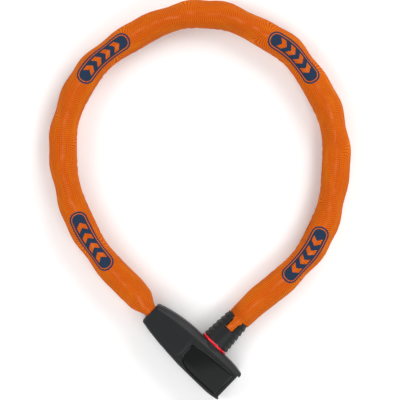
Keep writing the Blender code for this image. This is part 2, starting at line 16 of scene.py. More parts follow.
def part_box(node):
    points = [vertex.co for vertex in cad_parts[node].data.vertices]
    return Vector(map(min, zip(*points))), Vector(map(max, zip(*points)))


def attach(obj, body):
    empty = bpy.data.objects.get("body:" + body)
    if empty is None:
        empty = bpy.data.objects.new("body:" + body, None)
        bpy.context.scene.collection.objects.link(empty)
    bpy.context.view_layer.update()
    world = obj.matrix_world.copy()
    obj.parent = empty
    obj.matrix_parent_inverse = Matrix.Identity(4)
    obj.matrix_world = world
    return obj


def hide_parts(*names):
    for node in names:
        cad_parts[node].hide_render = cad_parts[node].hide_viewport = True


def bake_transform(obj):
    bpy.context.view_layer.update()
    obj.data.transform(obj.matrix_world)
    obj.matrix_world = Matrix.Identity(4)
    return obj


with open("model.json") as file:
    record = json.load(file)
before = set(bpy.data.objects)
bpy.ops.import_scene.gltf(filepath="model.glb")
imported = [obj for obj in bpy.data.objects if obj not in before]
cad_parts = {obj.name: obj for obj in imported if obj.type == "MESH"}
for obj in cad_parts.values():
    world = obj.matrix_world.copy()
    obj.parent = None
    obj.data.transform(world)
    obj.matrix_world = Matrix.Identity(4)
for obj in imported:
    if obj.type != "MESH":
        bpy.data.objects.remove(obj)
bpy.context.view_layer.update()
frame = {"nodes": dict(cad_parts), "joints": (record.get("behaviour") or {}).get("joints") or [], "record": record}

bl_info = {
    "name": "Chain lock",
    "version": (1, 0, 0),
    "blender": (4, 5, 0),
    "location": "3D View > Sidebar > Chain lock",
    "description": "Builds the visual model of a chain lock round its packed frame",
    "category": "Object",
}

MM = 0.001
JOINTS = {joint["name"]: joint for joint in frame["joints"]}
LINKS = sum(name.startswith("chain_link_") for name in frame["nodes"])

# The places that the head's own axes give, as the solids have them
ANCHOR_X = 8.5
PLUG_X = 57.0
PLUG_PIVOT_Y = 38.0
HEAD_TOP = 14.0

# The sleeve's weave and print, the painted shade along its top and the painted highlight along its ridge
WARP_SPACING = 1.9
RIB_CURVE = 0.35
# Painted shade along the sleeve's top: how far round from the top line it reaches, in mm
TOP_SHADE_HALF_WIDTH = 11.0
# Painted highlight along the sleeve's ridge: its half width, in mm
RIDGE_HIGHLIGHT_HALF_WIDTH = 2.0
PRINT_LINE_INSET = 2.1
PRINT_LINE_HALF_WIDTH = 0.4

# The sleeve's shape
AROUND = 96
WALL = 0.7
SLEEVE_START = 6.0
RING_SPACING = 1.25
PATCH_CENTRES = (86.0, 255.0, 436.5, 618.5)
BEND_REACH = 12.0
NECK_BEND = (4.0, 22.0)
SLOT_Y = 35.8

# The plug's grip
GRIP_START = 19.75
GRIP_END = 47.4
RIDGE_PITCH = 4.6

# The stage, in metres
FRAME_WIDTH = 0.336
FRAME_MIDDLE = (0.00009, -0.00097)
WORLD_STRENGTH = 0.3
CARD_EDGE = (0.006, -0.2374, 1.214)
CARD_LEAN = 15.9
CARD_POWER = 0.7
CARD_SHIFT = 0.25


# ---------------------------------------------------------------- places

def pivot_points():
    """The chain's pivots from the head to the plug: each link's middle is half way between its two."""
    points = [Vector(JOINTS["chain_open"]["pos_m"][:2])]
    for number in range(1, LINKS + 1):
        low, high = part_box(f"chain_link_{number:02d}")
        middle = (Vector(low) + Vector(high)).to_2d() / 2
        points.append(middle * 2 - points[-1])
    return [point / MM for point in points]


def body_of(node):
    """The body that a node of the frame rides on."""
    for body, nodes in frame["record"]["behaviour"]["bodies"].items():
        if node in nodes:
            return body


def head_matrix():
    """From the head's own axes in metres to the world."""
    along = Vector(JOINTS["key_turn"]["axis"]).normalized()
    across = Vector((0, 0, 1)).cross(along)
    anchor = Vector(JOINTS["chain_open"]["pos_m"])
    corner = anchor - along * ANCHOR_X * MM
    turn = Matrix((along, across, (0, 0, 1))).transposed().to_4x4()
    return Matrix.Translation(corner) @ turn


HEAD = head_matrix()
PIVOTS = pivot_points()
MID_Z = JOINTS["chain_open"]["pos_m"][2] / MM
PITCH = sum((b - a).length for a, b in zip(PIVOTS, PIVOTS[1:])) / LINKS
SECTIONS = [body_of(f"chain_link_{number:02d}") for number in range(1, LINKS + 1)]
BENDS = [number for number in range(1, LINKS) if SECTIONS[number] != SECTIONS[number - 1]]


def smooth_step(share):
    share = np.clip(share, 0.0, 1.0)
    return share * share * (3 - 2 * share)


# ---------------------------------------------------------------- settings

class SleeveSettings(bpy.types.PropertyGroup):
    flat_half_width: bpy.props.FloatProperty(
        name="Half width on a flat link",
        description="Sleeve from its middle to its side, in mm", default=11.7)
    edge_half_width: bpy.props.FloatProperty(
        name="Half width on an upright link",
        description="Sleeve from its middle to its side, in mm", default=10.55)
    rib_spacing: bpy.props.FloatProperty(
        name="Rib spacing", description="Distance between the weave's crosswise ribs, in mm", default=1.7)
    light_orange: bpy.props.StringProperty(
        name="Light thread", description="sRGB hex colour of the lit thread", default="E87402")
    dark_orange: bpy.props.StringProperty(
        name="Shaded thread", description="sRGB hex colour between the threads", default="962E02")
    print_colour: bpy.props.StringProperty(
        name="Printed patch", description="sRGB hex colour of the printed patches", default="1A2D45")
    patch_length: bpy.props.FloatProperty(
        name="Patch length", description="Length of a printed patch, in mm", default=56.0)
    patch_width: bpy.props.FloatProperty(
        name="Patch width", description="Width of a printed patch, in mm", default=16.5)


class HeadSettings(bpy.types.PropertyGroup):
    plastic_colour: bpy.props.StringProperty(
        name="Housing", description="sRGB hex colour of the moulded housing", default="141617")
    inlay_colour: bpy.props.StringProperty(
        name="Inlay", description="sRGB hex colour of the polished inlay", default="040505")
    ring_colour: bpy.props.StringProperty(
        name="Ring", description="sRGB hex colour of the plug's ring", default="DE0020")
    corner_round: bpy.props.FloatProperty(
        name="Crease rounding", description="How far the housing's creases are rounded, in mm", default=1.5)
    collar_sides: bpy.props.IntProperty(
        name="Collar sides", description="Flats round the turned pieces", default=96, min=24)


# ---------------------------------------------------------------- mesh helpers

def select_only(obj):
    bpy.ops.object.select_all(action="DESELECT")
    obj.select_set(True)
    bpy.context.view_layer.objects.active = obj


def grid_piece(name, rows, columns, place):
    """A primitive grid whose point at (row, column) is moved to place(row, column), in metres."""
    bpy.ops.object.select_all(action="DESELECT")
    bpy.ops.mesh.primitive_grid_add(x_subdivisions=columns - 1, y_subdivisions=rows - 1, size=2)
    obj = bpy.context.object
    obj.name = obj.data.name = name
    for index, vertex in enumerate(obj.data.vertices):
        vertex.co = place(index // columns, index % columns)
    return obj


def close_up(obj, inward=False):
    """Merges the grid's meeting edges, fills its open ends and points its faces outwards."""
    select_only(obj)
    bpy.ops.object.mode_set(mode="EDIT")
    bpy.ops.mesh.select_all(action="SELECT")
    bpy.ops.mesh.remove_doubles(threshold=1e-6)
    bpy.ops.mesh.select_all(action="DESELECT")
    bpy.ops.mesh.select_mode(type="EDGE")
    bpy.ops.mesh.select_non_manifold()
    bpy.ops.mesh.edge_face_add()
    bpy.ops.mesh.select_all(action="SELECT")
    bpy.ops.mesh.normals_make_consistent(inside=inward)
    bpy.ops.mesh.select_mode(type="VERT")
    bpy.ops.object.mode_set(mode="OBJECT")
    return obj


def turned_piece(name, profile, sides, place):
    """Turned about the head's y axis through place: profile is (y, radius) from one end to the other."""
    def point(row, column):
        y, radius = profile[row]
        turn = 2 * math.pi * column / sides
        return HEAD @ (place + Vector((radius * math.cos(turn), y, radius * math.sin(turn))) * MM)

    return close_up(grid_piece(name, len(profile), sides + 1, point))


def box_piece(name, low, high, bevel=0.0):
    """A box between two corners in the head's axes, its edges rounded in edit mode."""
    middle = [(a + b) / 2 * MM for a, b in zip(low, high)]
    bpy.ops.object.select_all(action="DESELECT")
    bpy.ops.mesh.primitive_cube_add(size=1)
    obj = bpy.context.object
    obj.name = obj.data.name = name
    size = [(b - a) * MM for a, b in zip(low, high)]
    for vertex in obj.data.vertices:
        vertex.co = HEAD @ Vector([m + c * s for m, c, s in zip(middle, vertex.co, size)])
    if bevel:
        bpy.ops.object.mode_set(mode="EDIT")
        bpy.ops.mesh.select_all(action="SELECT")
        bpy.ops.mesh.bevel(offset=bevel * MM, segments=3)
        bpy.ops.object.mode_set(mode="OBJECT")
    return obj


def outline_piece(name, outline, low_z, high_z):
    """A plate from a closed outline in the head's x and y."""
    count = len(outline)

    def point(row, column):
        x, y = outline[column % count]
        return HEAD @ (Vector((x, y, (low_z, high_z)[row])) * MM)

    return close_up(grid_piece(name, 2, count + 1, point))


def apply_modifiers(obj):
    select_only(obj)
    for modifier in list(obj.modifiers):
        bpy.ops.object.modifier_apply(modifier=modifier.name)


def carve(obj, *cutters, operation="DIFFERENCE"):
    """Cuts with, joins or keeps what is common with each cutter, and removes the cutters."""
    for cutter in cutters:
        modifier = obj.modifiers.new("Carve", "BOOLEAN")
        modifier.operation = operation
        modifier.object = cutter
        apply_modifiers(obj)
        bpy.data.objects.remove(cutter)
    return obj


def soften(obj, width, segments=2, angle=35):
    """Rounds the edges sharper than an angle."""
    bevel = obj.modifiers.new("Soft edges", "BEVEL")
    bevel.width = width * MM
    bevel.segments = segments
    bevel.limit_method = "ANGLE"
    bevel.angle_limit = math.radians(angle)
    bevel.harden_normals = False
    apply_modifiers(obj)
    return obj


def shade(obj, angle=32):
    select_only(obj)
    bpy.ops.object.shade_smooth_by_angle(angle=math.radians(angle))
    return obj


def finish_piece(obj, material, body, replaced=()):
    obj.data.materials.clear()
    obj.data.materials.append(material)
    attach(obj, body)
    if replaced:
        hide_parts(*replaced)
    return obj


def rounded_corners(points, radius, steps=4):
    """A closed outline with each corner drawn as a curve that starts a radius before it."""
    out = []
    count = len(points)
    for k in range(count):
        before, here, after = (Vector(points[(k + d) % count]) for d in (-1, 0, 1))
        back = min(radius, (before - here).length * 0.45)
        ahead = min(radius, (after - here).length * 0.45)
        start = here + (before - here).normalized() * back
        end = here + (after - here).normalized() * ahead
        for step in range(steps + 1):
            t = step / steps
            out.append(tuple(start * (1 - t) ** 2 + here * 2 * t * (1 - t) + end * t * t))
    return out


# ---------------------------------------------------------------- materials

def linear(hex_colour):
    """An sRGB hex colour as linear RGBA."""
    values = []
    for k in (0, 2, 4):
        c = int(hex_colour[k:k + 2], 16) / 255
        values.append(c / 12.92 if c <= 0.04045 else ((c + 0.055) / 1.055) ** 2.4)
    return (*values, 1.0)


def add_node(tree, kind, inputs=None, **settings):
    """Adds a node, sets its properties, and links or sets its inputs by name or number."""
    made = tree.nodes.new(kind)
    for key, value in settings.items():
        setattr(made, key, value)
    for key, value in (inputs or {}).items():
        if isinstance(value, bpy.types.NodeSocket):
            tree.links.new(value, made.inputs[key])
        else:
            made.inputs[key].default_value = value
    return made


def new_material(name):
    material = bpy.data.materials.new(name)
    material.use_nodes = True
    tree = material.node_tree
    return material, tree, tree.nodes["Principled BSDF"]


def sums(tree, operation, a, b, clamp=False):
    return add_node(tree, "ShaderNodeMath", {0: a, 1: b}, operation=operation, use_clamp=clamp).outputs[0]


def mixed(tree, factor, first, second):
    mix = add_node(tree, "ShaderNodeMix", {0: factor, 6: first, 7: second}, data_type="RGBA")
    return mix.outputs[2]


def times_and_add(tree, value, factor, offset):
    """A value times a factor, plus an offset."""
    inputs = {0: value, 1: factor, 2: offset}
    return add_node(tree, "ShaderNodeMath", inputs, operation="MULTIPLY_ADD").outputs[0]


def noise_at(tree, place, detail, scale=1.0):
    """Cloudy noise at a place."""
    inputs = {"Vector": place, "Scale": scale, "Detail": detail}
    return add_node(tree, "ShaderNodeTexNoise", inputs).outputs[0]


def stretched(tree, place, scale):
    """A place scaled by its own amount each way, so that noise on it is drawn out into lines."""
    return add_node(tree, "ShaderNodeMapping", {"Vector": place, "Scale": scale}).outputs[0]


def nearest_patch(tree, along):
    """How far along the sleeve a point is from the middle of the patch nearest to it, in mm."""
    nearest = sums(tree, "SUBTRACT", along, PATCH_CENTRES[0])
    for before, centre in zip(PATCH_CENTRES, PATCH_CENTRES[1:]):
        past = sums(tree, "GREATER_THAN", along, (before + centre) / 2)
        nearest = sums(tree, "SUBTRACT", nearest, sums(tree, "MULTIPLY", past, centre - before))
    return nearest


def patch_distance(tree, x, y, settings):
    """How far a point is outside the printed patch, a rounded rectangle; below zero inside it."""
    radius = settings.patch_width * 0.47
    inner_x = settings.patch_length / 2 - radius
    inner_y = settings.patch_width / 2 - radius
    over_x = sums(tree, "MAXIMUM", sums(tree, "SUBTRACT", sums(tree, "ABSOLUTE", x, 0.0), inner_x), 0.0)
    over_y = sums(tree, "MAXIMUM", sums(tree, "SUBTRACT", sums(tree, "ABSOLUTE", y, 0.0), inner_y), 0.0)
    squared_x = sums(tree, "MULTIPLY", over_x, over_x)
    squared_y = sums(tree, "MULTIPLY", over_y, over_y)
    squared = sums(tree, "ADD", squared_x, squared_y)
    return sums(tree, "SUBTRACT", sums(tree, "SQRT", squared, 0.0), radius)


def chevron_mask(tree, x, y, settings):
    """Four plain chevrons in a row along the patch."""
    spacing, thick, half_height, slant, count = 9.6, 4.6, 4.1, 0.8, 4
    leaning = sums(tree, "ADD", x, sums(tree, "MULTIPLY", sums(tree, "ABSOLUTE", y, 0.0), slant))
    centred = sums(tree, "ADD", leaning, count * spacing / 2 - 4.1)
    within = sums(tree, "MODULO", sums(tree, "ADD", centred, 100 * spacing), spacing)
    bar = sums(tree, "LESS_THAN", within, thick)
    low = sums(tree, "GREATER_THAN", centred, 0.0)
    high = sums(tree, "LESS_THAN", centred, count * spacing - 0.5)
    tall = sums(tree, "LESS_THAN", sums(tree, "ABSOLUTE", y, 0.0), half_height)
    return sums(tree, "MULTIPLY", sums(tree, "MULTIPLY", bar, tall), sums(tree, "MULTIPLY", low, high))


def sleeve_material(settings):
    """Woven nylon: crosswise ribs and lengthwise warp lines give a fine broken grain, painted lit on the threads
    and shaded between them; a painted shade along the top, a painted highlight along the ridge; printed patches.
    """
    material, tree, shader = new_material("Woven nylon sleeve")
    place = add_node(tree, "ShaderNodeUVMap", uv_map="weave").outputs[0]
    split = add_node(tree, "ShaderNodeSeparateXYZ", {0: place})
    along, around = (sums(tree, "MULTIPLY", split.outputs[k], 1000.0) for k in (0, 1))
    wander = noise_at(tree, place, 2.0, 90.0)
    sway = noise_at(tree, place, 0.0, 22.0)
    curve = sums(tree, "MULTIPLY", sums(tree, "SUBTRACT", sway, 0.5), RIB_CURVE)
    arch = sums(tree, "MULTIPLY", sums(tree, "MULTIPLY", around, around), curve)
    bent = sums(tree, "ADD", sums(tree, "ADD", along, arch), sums(tree, "MULTIPLY", wander, 1.6))
    turn = 2 * math.pi
    rib = sums(tree, "SINE", sums(tree, "MULTIPLY", bent, turn / settings.rib_spacing), 0.0)
    warp = sums(tree, "SINE", sums(tree, "MULTIPLY", around, turn / WARP_SPACING), 0.0)
    rib_up = times_and_add(tree, rib, 0.5, 0.5)
    warp_up = times_and_add(tree, warp, 0.5, 0.5)
    grain = noise_at(tree, stretched(tree, place, (500.0, 1400.0, 1.0)), 3.0)
    cloud = noise_at(tree, stretched(tree, place, (45.0, 160.0, 1.0)), 3.0)
    weave = sums(tree, "ADD", sums(tree, "MULTIPLY", rib_up, 0.55), sums(tree, "MULTIPLY", warp_up, 0.2))
    tone = sums(tree, "ADD", weave, sums(tree, "MULTIPLY", grain, 0.4))
    # Painted light and shade of the weave: the threads' tops are painted lit and the gaps between them shaded.
    light, dark = linear(settings.light_orange), linear(settings.dark_orange)
    orange = mixed(tree, sums(tree, "SUBTRACT", tone, 0.04, clamp=True), dark, light)
    warm = sums(tree, "MULTIPLY", sums(tree, "SUBTRACT", cloud, 0.48, clamp=True), 3.2, clamp=True)
    orange = mixed(tree, sums(tree, "MULTIPLY", warm, 0.4), orange, linear("DF8604"))
    # Painted shade: the sleeve's top is darkened and reddened, fading out towards its sides.
    from_top = sums(tree, "DIVIDE", sums(tree, "ABSOLUTE", around, 0.0), TOP_SHADE_HALF_WIDTH)
    top_shade = sums(tree, "SUBTRACT", 1.0, from_top, clamp=True)
    orange = mixed(tree, sums(tree, "MULTIPLY", top_shade, 0.5), orange, linear("BE4606"))
    # Painted highlight: a pale, broken line along the crease of the sleeve's top ridge, wandering a little off its
    # middle.
    ridge_highlight_noise = noise_at(tree, stretched(tree, place, (70.0, 200.0, 1.0)), 2.0)
    shift = sums(tree, "MULTIPLY", sums(tree, "SUBTRACT", wander, 0.5), 6.0)
    off_middle = sums(tree, "ABSOLUTE", sums(tree, "ADD", around, shift), 0.0)
    near = sums(tree, "SUBTRACT", 1.0, sums(tree, "DIVIDE", off_middle, RIDGE_HIGHLIGHT_HALF_WIDTH), clamp=True)
    broken = sums(tree, "SUBTRACT", ridge_highlight_noise, 0.42, clamp=True)
    broken = sums(tree, "MULTIPLY", broken, 5.0, clamp=True)
    ridge_highlight = sums(tree, "MULTIPLY", sums(tree, "MULTIPLY", near, broken), 0.35)
    orange = mixed(tree, ridge_highlight, orange, linear("DC8450"))
    patch_x = nearest_patch(tree, along)
    distance = patch_distance(tree, patch_x, around, settings)
    inside = sums(tree, "MULTIPLY", distance, -2.0, clamp=True)
    mark = chevron_mask(tree, patch_x, around, settings)
    # The ink follows the weave's painted light and shade, lighter on the lit threads.
    ink = mixed(tree, sums(tree, "MULTIPLY", tone, 0.35), linear(settings.print_colour), linear("34465C"))
    line_inputs = {0: distance, 1: -PRINT_LINE_INSET, 2: PRINT_LINE_HALF_WIDTH}
    bare_line = add_node(tree, "ShaderNodeMath", line_inputs, operation="COMPARE").outputs[0]
    bare = sums(tree, "MAXIMUM", mark, bare_line)
    inked = sums(tree, "MULTIPLY", inside, sums(tree, "SUBTRACT", 1.0, bare))
    colour = mixed(tree, inked, orange, ink)
    tree.links.new(colour, shader.inputs["Base Color"])
    height = sums(tree, "ADD", rib_up, sums(tree, "MULTIPLY", warp_up, 0.5))
    height = sums(tree, "ADD", height, sums(tree, "MULTIPLY", grain, 0.8))
    bump = add_node(tree, "ShaderNodeBump", {"Strength": 0.7, "Distance": 0.0003, "Height": height})
    tree.links.new(bump.outputs[0], shader.inputs["Normal"])
    shader.inputs["Roughness"].default_value = 0.9
    shader.inputs["Specular IOR Level"].default_value = 0.15
    shader.inputs["Sheen Weight"].default_value = 0.06
    shader.inputs["Sheen Roughness"].default_value = 0.45
    shader.inputs["Sheen Tint"].default_value = linear("FFB27A")
    return material


def speckled_plastic(name, hex_colour, roughness, grit, depth):
    """Moulded plastic: a fine spark-eroded grain scatters the highlight, with faint handling marks."""
    material, tree, shader = new_material(name)
    place = add_node(tree, "ShaderNodeTexCoord").outputs["Object"]
    grain = noise_at(tree, place, 2.0, 1 / (grit * MM))
    marks = noise_at(tree, place, 4.0, 60.0)
    tone = sums(tree, "MULTIPLY", marks, 0.5)
    base, lit = linear(hex_colour), tuple(c * 1.35 for c in linear(hex_colour)[:3]) + (1.0,)
    tree.links.new(mixed(tree, tone, base, lit), shader.inputs["Base Color"])
    rough = times_and_add(tree, marks, 0.12, roughness - 0.06)
    tree.links.new(rough, shader.inputs["Roughness"])
    bump = add_node(tree, "ShaderNodeBump", {"Strength": 0.35, "Distance": depth * MM, "Height": grain})
    tree.links.new(bump.outputs[0], shader.inputs["Normal"])
    shader.inputs["Specular IOR Level"].default_value = 0.3
    return material


def polished_plastic(name, hex_colour, roughness):
    """Polished plastic: a clear, slightly uneven reflection and a few hair scratches."""
    material, tree, shader = new_material(name)
    place = add_node(tree, "ShaderNodeTexCoord").outputs["Object"]
    hair_place = add_node(tree, "ShaderNodeMapping", {
        "Vector": place, "Rotation": (0, 0, math.radians(20)), "Scale": (30.0, 2600.0, 30.0)}).outputs[0]
    hair = noise_at(tree, hair_place, 1.0)
    cloud = noise_at(tree, place, 3.0, 35.0)
    line = sums(tree, "MULTIPLY", sums(tree, "SUBTRACT", hair, 0.66, clamp=True), 1.2, clamp=True)
    rough = sums(tree, "ADD", sums(tree, "MULTIPLY", cloud, 0.06), sums(tree, "ADD", line, roughness - 0.03))
    tree.links.new(rough, shader.inputs["Roughness"])
    tone = mixed(tree, cloud, linear(hex_colour), tuple(c * 1.15 for c in linear(hex_colour)[:3]) + (1.0,))
    tree.links.new(tone, shader.inputs["Base Color"])
    return material


def worked_metal(name, hex_colour, worn_hex, roughness, stretch):
    """Machined or plated metal: fine tool lines one way, and slow changes of tone from the plating."""
    material, tree, shader = new_material(name)
    place = add_node(tree, "ShaderNodeTexCoord").outputs["Object"]
    lines = noise_at(tree, stretched(tree, place, stretch), 3.0)
    cloud = noise_at(tree, place, 3.0, 120.0)
    tree.links.new(mixed(tree, cloud, linear(hex_colour), linear(worn_hex)), shader.inputs["Base Color"])
    rough = times_and_add(tree, lines, 0.25, roughness - 0.12)
    tree.links.new(rough, shader.inputs["Roughness"])
    bump = add_node(tree, "ShaderNodeBump", {"Strength": 0.2, "Distance": 0.00003, "Height": lines})
    tree.links.new(bump.outputs[0], shader.inputs["Normal"])
    shader.inputs["Metallic"].default_value = 1.0
    return material


def housing_plastic():
    """Glass-filled nylon, spark-eroded mould: soft broad highlights on near black."""
    return speckled_plastic("Moulded nylon", bpy.context.scene.lock_head.plastic_colour, 0.5, 0.35, 0.02)


def inlay_plastic():
    """Polished ABS: a mirror-like dark panel."""
    return polished_plastic("Polished ABS", bpy.context.scene.lock_head.inlay_colour, 0.08)


def ring_plastic():
    """Red polished acetal: a bright line with a sharp highlight."""
    return polished_plastic("Red acetal", bpy.context.scene.lock_head.ring_colour, 0.2)


# ---------------------------------------------------------------- sleeve shape

def bend_at(corner):
    """The turn of the chain at a pivot, in degrees, to the left positive."""
    if not 0 < corner < LINKS:
        return 0.0
    before, after = PIVOTS[corner] - PIVOTS[corner - 1], PIVOTS[corner + 1] - PIVOTS[corner]
    return math.degrees(math.atan2(before.cross(after), before.dot(after)))


def middle_line(along, blend=11.0):
    """Point and direction of the sleeve's middle, counted along the chain from its first pivot."""
    number = min(max(int(along // PITCH), 0), LINKS - 1)
    into = along - number * PITCH
    ahead = (PIVOTS[number + 1] - PIVOTS[number]).normalized()
    point, direction = PIVOTS[number] + ahead * into, ahead
    corner, off = (number, into) if into < PITCH / 2 else (number + 1, into - PITCH)
    if 0 < corner < LINKS and abs(off) < blend:
        before = (PIVOTS[corner] - PIVOTS[corner - 1]).normalized()
        after = (PIVOTS[corner + 1] - PIVOTS[corner]).normalized()
        t = (off + blend) / (2 * blend)
        start, end = PIVOTS[corner] - before * blend, PIVOTS[corner] + after * blend
        point = start * (1 - t) ** 2 + PIVOTS[corner] * 2 * t * (1 - t) + end * t * t
        direction = (before * (1 - t) + after * t).normalized()
    return point, direction


def half_sizes(along, settings):
    """Half width, half height and squareness of the sleeve where it isn't drawn in at its ends."""
    flat = float(smooth_step((1 - abs((along / PITCH - 0.5) % 2 - 1)) / 0.78))
    width = settings.edge_half_width + (settings.flat_half_width - settings.edge_half_width) * flat
    height = 13.45 - 1.35 * flat
    power = 1.9 + 0.5 * flat
    slack = noise.noise(Vector((along / 38.0, 3.7, 0.0)))
    return width + 0.35 * slack, height, power


def drawn_in(along, settings):
    """Half width, half height and squareness with the neck at the head and the slot in the collar."""
    width, height, power = half_sizes(along, settings)
    neck = float(smooth_step((along - ANCHOR_X + 1.0) / 15.0))
    width = 5.0 + (width - 5.0) * neck
    height = 12.2 + (height - 12.2) * neck
    plug_y = PLUG_PIVOT_Y + LINKS * PITCH - along
    near_mouth = float(smooth_step((54.0 - plug_y) / 6.0))
    width += (10.2 - width) * near_mouth
    height += (12.1 - height) * near_mouth
    power += (1.35 - power) * near_mouth
    in_slot = min(max((47.6 - plug_y) / 3.4, 0.0), 1.0)
    width += (3.7 - width) * in_slot
    power += (4.5 - power) * max(in_slot ** 2, 1 - neck)
    return width, height, power


def folds(along, turn, settings):
    """How far the cloth stands off its smooth form: folds inside bends, pleats, and slow unevenness."""
    corner = round(along / PITCH)
    off = along - corner * PITCH
    bend = bend_at(corner)
    side = math.cos(turn) * (1 if bend > 0 else -1)
    near = math.exp(-(off / 9.5) ** 2)
    wave = math.sin(2 * math.pi * along / 8.2 + 2.6 * math.sin(turn))
    inside = 0.011 * abs(bend) * near * max(side, 0.0) * wave
    bulge = 0.05 * abs(bend) * near * max(-side, 0.0)
    point = Vector((along / 26.0, math.cos(turn) * 1.4, math.sin(turn) * 1.4))
    slow = 0.34 * noise.noise(point)
    pleat_point = Vector((along / 55.0, math.cos(turn) * 4.2, math.sin(turn) * 4.2 + 9.0))
    pleat = 0.26 * noise.noise(pleat_point)
    across_point = Vector((along / 4.2, math.cos(turn) * 1.1 + 5.0, math.sin(turn) * 1.1))
    fine = 0.1 * noise.noise(across_point)
    return inside + bulge + slow + pleat + fine


def sleeve_cuts():
    """Where the sleeve starts, where it is cut between the hinges, and where it ends."""
    ends = [0, *BENDS, LINKS]
    cuts = [(before + after) / 2 * PITCH for before, after in zip(ends[1:-2], ends[2:-1])]
    first = (BENDS[0] / 2) * PITCH
    last = (BENDS[-1] + LINKS) / 2 * PITCH
    return [SLEEVE_START, first, *cuts, last, LINKS * PITCH + PLUG_PIVOT_Y - SLOT_Y]


def sleeve_stations():
    """The places of the rings, in even steps between the cuts, and the rows at which the cuts are."""
    cuts = sleeve_cuts()
    stations, marks = [], []
    for start, end in zip(cuts, cuts[1:]):
        steps = max(2, round((end - start) / RING_SPACING))
        marks.append(len(stations))
        stations += [start + (end - start) * k / steps for k in range(steps)]
    marks.append(len(stations))
    stations.append(cuts[-1])
    return np.array(stations), marks


def tubes_of_stretch(number):
    """The frame's sleeve nodes whose middles are inside a stretch of the modelled sleeve."""
    start, end = sleeve_cuts()[number:number + 2]
    found = ["sleeve_neck"] if number == 0 else ["sleeve_end"] if number == len(BENDS) + 1 else []
    for link in range(2, LINKS, 2):
        if start <= (link - 0.5) * PITCH < end:
            found.append(f"sleeve_segment_{link // 2:02d}")
    return found


def sleeve_surface(stations, settings):
    """Points (ring, around, xyz) in millimetres."""
    turns = math.pi / 2 + 2 * math.pi * np.arange(AROUND) / AROUND
    points = np.zeros((len(stations), AROUND, 3))
    for row, along in enumerate(stations):
        middle, ahead = middle_line(along)
        left = Vector((-ahead.y, ahead.x))
        width, height, power = drawn_in(along, settings)
        past_neck = smooth_step((along - ANCHOR_X) / 20.0)
        before_plug = smooth_step((LINKS * PITCH - 16 - along) / 12.0)
        quiet = float(past_neck * before_plug)
        for column, turn in enumerate(turns):
            c, s = math.cos(turn), math.sin(turn)
            across = width * math.copysign(abs(c) ** (2 / power), c)
            up = height * math.copysign(abs(s) ** (2 / power), s)
            stand = 1 + quiet * folds(along, turn, settings) / math.hypot(across, up)
            across *= stand
            up = max(up * stand, 0.25 - MID_Z)
            points[row, column] = (middle.x + left.x * across, middle.y + left.y * across, MID_Z + up)
    return points


def surface_normals(points):
    """Outward normals of the whole sleeve, so that its pieces meet without a line."""
    lengthwise = np.gradient(points, axis=0)
    crosswise = np.roll(points, -1, axis=1) - np.roll(points, 1, axis=1)
    normals = np.cross(crosswise, lengthwise)
    normals /= np.linalg.norm(normals, axis=2, keepdims=True)
    outward = points - points.mean(axis=1, keepdims=True)
    if (normals * outward).sum() < 0:
        normals = -normals
    return normals


def around_distance(points):
    """Distance round the cloth from its top line, by way of the right side, to the top line again."""
    closed = np.concatenate([points, points[:, :1]], axis=1)
    steps = np.linalg.norm(np.diff(closed, axis=1), axis=2)
    return np.concatenate([np.zeros((len(points), 1)), np.cumsum(steps, axis=1)], axis=1)


def tube_faces(count):
    """Faces of an open tube with a wall, as (wall, row, column) corners: 0 is outside and 1 is inside."""
    last = count - 1
    for c in range(AROUND):
        for r in range(last):
            quad = ((r, c), (r, c + 1), (r + 1, c + 1), (r + 1, c))
            yield [(0, i, j) for i, j in quad]
            yield [(1, i, j) for i, j in reversed(quad)]
        yield [(0, 0, c + 1), (0, 0, c), (1, 0, c), (1, 0, c + 1)]
        yield [(0, last, c), (0, last, c + 1), (1, last, c + 1), (1, last, c)]


def sleeve_piece(name, rows, surface, normals, stations, distances):
    """One stretch of the tube with its wall, a UV map in metres, and the whole tube's normals."""
    outer = surface[rows]
    inner = outer - normals[rows] * WALL
    points = np.concatenate([outer.reshape(-1, 3), inner.reshape(-1, 3)]) * MM
    corners = np.array(list(tube_faces(len(rows))))
    wall, row, column = np.moveaxis(corners, 2, 0)
    faces = (wall * len(rows) + row) * AROUND + column % AROUND
    mesh = bpy.data.meshes.new(name)
    mesh.from_pydata(points.tolist(), [], faces.tolist())
    whole_row = np.array(rows)[row]
    left_side = column.min(axis=1, keepdims=True) >= AROUND // 2
    around = distances[whole_row, column] - distances[whole_row, -1] * left_side
    along = stations[whole_row]
    write_uv(mesh, "weave", along, around)
    mesh.polygons.foreach_set("use_smooth", [True] * len(mesh.polygons))
    rim = (wall.min(axis=1) != wall.max(axis=1))[:, None, None]
    own = np.array([face.normal for face in mesh.polygons])[:, None]
    smooth = normals[whole_row, column % AROUND] * np.where(wall == 0, 1, -1)[..., None]
    chosen = np.where(rim, own, smooth)
    mesh.normals_split_custom_set(chosen.reshape(-1, 3).tolist())
    obj = bpy.data.objects.new(name, mesh)
    bpy.context.scene.collection.objects.link(obj)
    return obj


def write_uv(mesh, name, across, up):
    layer = mesh.uv_layers.new(name=name)
    layer.uv.foreach_set("vector", np.stack([across * MM, up * MM], axis=-1).astype(np.float32).ravel())


# ---------------------------------------------------------------- operators

